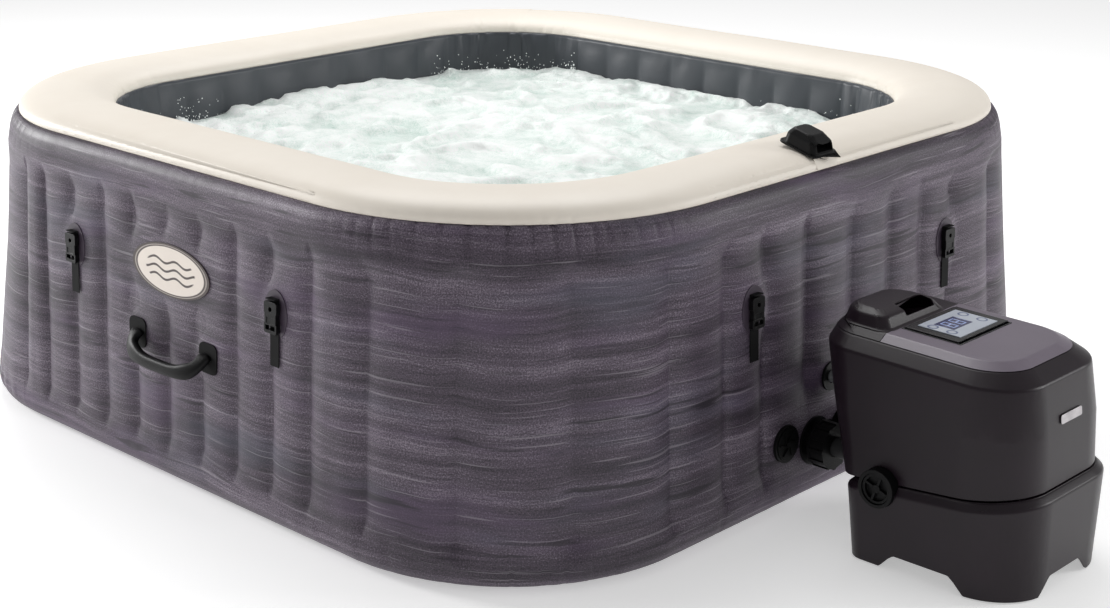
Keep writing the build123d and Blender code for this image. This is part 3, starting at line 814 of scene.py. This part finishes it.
def circuit():
    """Green board with paler tracks."""
    f = Finish("circuit_board")
    place = f.place()
    x, y, z = f.split(place)
    patches = f.noise(f.join(x * 30, y * 8), 1.0).step(0.5, 0.55)
    lanes = abs((x * 240.0).part() - 0.5).step(0.2, 0.12) * patches
    body = z.step(0.3942, 0.3948)
    tone = f.mix(lanes, srgb(20, 84, 50), srgb(110, 150, 90))
    f.set("Base Color", f.mix(body, tone, srgb(30, 30, 32)))
    f.set("Roughness", 0.4 + f.noise(place, 300.0) * 0.2)
    return f.made


def studio_floor():
    """Matt white paper with a barely uneven tooth."""
    f = Finish("studio_floor", Emission_Color=(1, 1, 1), Emission_Strength=0.42)
    place = f.place()
    f.set("Base Color", f.mix(f.noise(place, 60.0, 3.0) * 0.3, (0.90, 0.90, 0.90), (0.88, 0.88, 0.88)))
    f.set("Roughness", 0.55 + f.noise(place, 8.0, 3.0) * 0.1)
    return f.made


FINISHES = {
    "wall_skin": print_vinyl(),
    "rim_skin": soft_vinyl("rim_vinyl", srgb(242, 234, 222), srgb(230, 220, 206), 0.36, dirt=0.35),
    "inner_skin": soft_vinyl("inner_vinyl", srgb(66, 70, 76), srgb(46, 49, 55), 0.34),
    "floor_skin": soft_vinyl("floor_vinyl", srgb(90, 94, 98), srgb(66, 70, 74), 0.5, 300.0),
    "web_cloth": soft_vinyl("web_cloth", srgb(200, 200, 196), srgb(180, 180, 176), 0.7, 1200.0),
    "webbing": weave("webbing", srgb(15, 15, 17), srgb(5, 5, 6)),
    "badge_vinyl": oval_badge(),
    "black_plastic": moulded("black_plastic", srgb(14, 13, 15), srgb(7, 7, 8), 0.36, 1100.0, 0.12,
                             gloss=0.20),
    "buckle_plastic": moulded("buckle_plastic", srgb(12, 12, 14), srgb(6, 6, 7), 0.30, 1100.0, 0.12,
                              gloss=0.20),
    "base_plastic": moulded("base_plastic", srgb(40, 27, 38), srgb(25, 16, 23), 0.28, 1500.0, 0.10,
                            0.0002, 0.30),
    "lid_plastic": moulded("lid_plastic", srgb(132, 123, 136), srgb(112, 103, 115), 0.26, 1300.0,
                           0.10, 0.0002),
    "gloss_black": moulded("gloss_black", srgb(20, 20, 23), srgb(12, 12, 14), 0.12, 1500.0, 0.2,
                           0.00005),
    "screen": screen(),
    "badge_metal": metal("badge_metal", srgb(190, 186, 188), srgb(150, 146, 150), 0.3),
    "hose_rubber": moulded("hose_rubber", srgb(46, 46, 48), srgb(28, 28, 30), 0.5, 700.0, 0.1),
    "grey_plastic": moulded("grey_plastic", srgb(130, 131, 134), srgb(106, 107, 110), 0.4, 900.0,
                            0.2),
    "steel": metal("steel", srgb(206, 206, 208), srgb(160, 160, 164), 0.22),
    "motor_metal": metal("motor_metal", srgb(150, 152, 156), srgb(96, 98, 104), 0.35, (60, 900, 60)),
    "board": circuit(),
    "spray": drops(),
}

# Every CAD node first takes the finish of its slot; some are then replaced by shaped pieces.
SLOT = {row["node"]: row["material_slot"] for row in frame["record"]["subparts"]}
BODY = {node: body for body, nodes in frame["record"]["behaviour"]["bodies"].items() for node in nodes}
for node, slot in SLOT.items():
    NODE[node].data.materials.clear()
    NODE[node].data.materials.append(FINISHES[slot])


def rounded_copy(node, width):
    """Finished moulding over a CAD node: its triangles are merged and its flat faces joined, each
    crease of 18 to 70 degrees is rolled over by the width and each sharper one by 0.7 mm, and
    normals are weighted by face area."""
    mesh = NODE[node].data.copy()
    work = bmesh.new()
    work.from_mesh(mesh)
    bmesh.ops.remove_doubles(work, verts=work.verts, dist=0.00002)
    bmesh.ops.dissolve_limit(work, angle_limit=math.radians(0.8), verts=work.verts, edges=work.edges)
    weight = work.edges.layers.float.new("bevel_weight_edge")
    for edge in work.edges:
        bend = math.degrees(edge.calc_face_angle(0.0))
        edge[weight] = 0.0 if bend < 18 else 1.0 if bend < 70 else min(1.0, 0.0007 / width)
    work.to_mesh(mesh)
    work.free()
    mesh.polygons.foreach_set("use_smooth", np.ones(len(mesh.polygons), bool))
    thing = bpy.data.objects.new("finished_" + node, mesh)
    bpy.context.scene.collection.objects.link(thing)
    roll = thing.modifiers.new("rolled_edges", "BEVEL")
    roll.width = width
    roll.segments = 3
    roll.limit_method = "WEIGHT"
    roll.use_clamp_overlap = False
    thing.modifiers.new("even_shading", "WEIGHTED_NORMAL").keep_sharp = True
    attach(thing, BODY[node])
    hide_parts(node)


def grip(node):
    """Carry handle: a strap-shaped section, |cos|^0.7 by |sin|^0.7, carried along a flattened U that
    leaves the wall, drops, and returns; the section broadens at both roots and closes there."""
    low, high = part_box(node)
    middle, half = (low.x + high.x) / 2, (high.x - low.x) / 2 - 0.020
    outward, wall = (-1, high.y) if low.y < 0 else (1, low.y)
    reach = 0.042
    share = np.linspace(0, 1, 61)
    c, s = np.cos(PI * share), np.sin(PI * share)
    line = np.stack([middle - half * signed_power(c, 0.62),
                     wall + outward * (reach * s ** 0.55 - 0.004),
                     high.z - 0.014 - (high.z - low.z - 0.026) * s ** 0.75], -1)
    along = np.gradient(line, axis=0)
    along = along / np.linalg.norm(along, axis=-1, keepdims=True)
    lean = np.array([0, outward, 0.25])
    out = lean - along * (along @ lean)[:, None]
    out = out / np.linalg.norm(out, axis=-1, keepdims=True)
    broad = np.cross(along, out)
    turn = np.linspace(0, 2 * PI, 20, endpoint=False)
    a = signed_power(np.cos(turn), 0.7)[None, :, None]
    b = signed_power(np.sin(turn), 0.7)[None, :, None]
    end = np.abs(2 * share - 1)
    closing = np.sqrt(np.clip(1 - ease((end - 0.985) / 0.015) * 0.96, 0, 1))[:, None, None]
    wide = (0.0130 + 0.0035 * np.exp(-((end - 0.45) / 0.2) ** 2) + 0.006 * end ** 8)[:, None, None]
    deep = (0.0080 + 0.0020 * (1 - end ** 2))[:, None, None]
    points = line[:, None] + closing * (wide * a * broad[:, None] + deep * b * out[:, None])
    rows, columns = points.shape[:2]
    faces = grid_faces(rows, columns, wrap_columns=True).tolist()
    faces += [list(range(columns))[::-1], [(rows - 1) * columns + k for k in range(columns)]]
    thing = piece(node + "_grip", points, faces, FINISHES[SLOT[node]], body=BODY[node], slot=SLOT[node])
    outward_faces(thing)
    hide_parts(node)


def outward_faces(thing):
    """Turn every face of a closed piece outwards."""
    work = bmesh.new()
    work.from_mesh(thing.data)
    bmesh.ops.recalc_face_normals(work, faces=work.faces)
    work.to_mesh(thing.data)
    work.free()


# ------------------------------------------------------------------ the tub
tub_wall = band("tub_wall", wall_skin(), depth=0.0022, slot="wall_skin")
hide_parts("outer_wall", "bottom_weld_band")
rim_tube = band("rim_tube", rim_skin(), depth=0.0020, slot="rim_skin", every=3)
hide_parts("top_ring")
inner_lining = band("inner_lining", inner_skin(), depth=0.0020, slot="inner_skin")
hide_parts("inner_wall")
inner_webs = piece("inner_webs", *webs(), FINISHES["web_cloth"], slot="web_cloth", smooth=False)
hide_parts("internal_webs")
piece("pool_water", *water(), bubbling_water())
piece("water_spray", *spray(), FINISHES["spray"])

# ------------------------------------------------------------------ mouldings with rolled edges
for node, width in (("upper_housing", 0.0042), ("base_skirt", 0.0040), ("rear_hood", 0.0045),
                    ("top_cover", 0.0030), ("control_panel", 0.0022), ("panel_tray", 0.0010),
                    ("blower_port", 0.0015), ("blower_port_cap", 0.0012), ("front_badge", 0.0006),
                    ("rim_dock", 0.0035)):
    rounded_copy(node, width)
for node in ("front_handle", "back_handle"):
    grip(node)
for _, _, node in BUCKLES:
    rounded_copy(node, 0.0012)

# ------------------------------------------------------------------ the studio floor, sizes, finish
FLOOR_HALF = 40.0
floor = piece("studio_floor", FLOOR_HALF * np.array([[-1, -1, 0], [1, -1, 0], [1, 1, 0], [-1, 1, 0]]),
              [(0, 1, 2, 3)], studio_floor(), body=None)
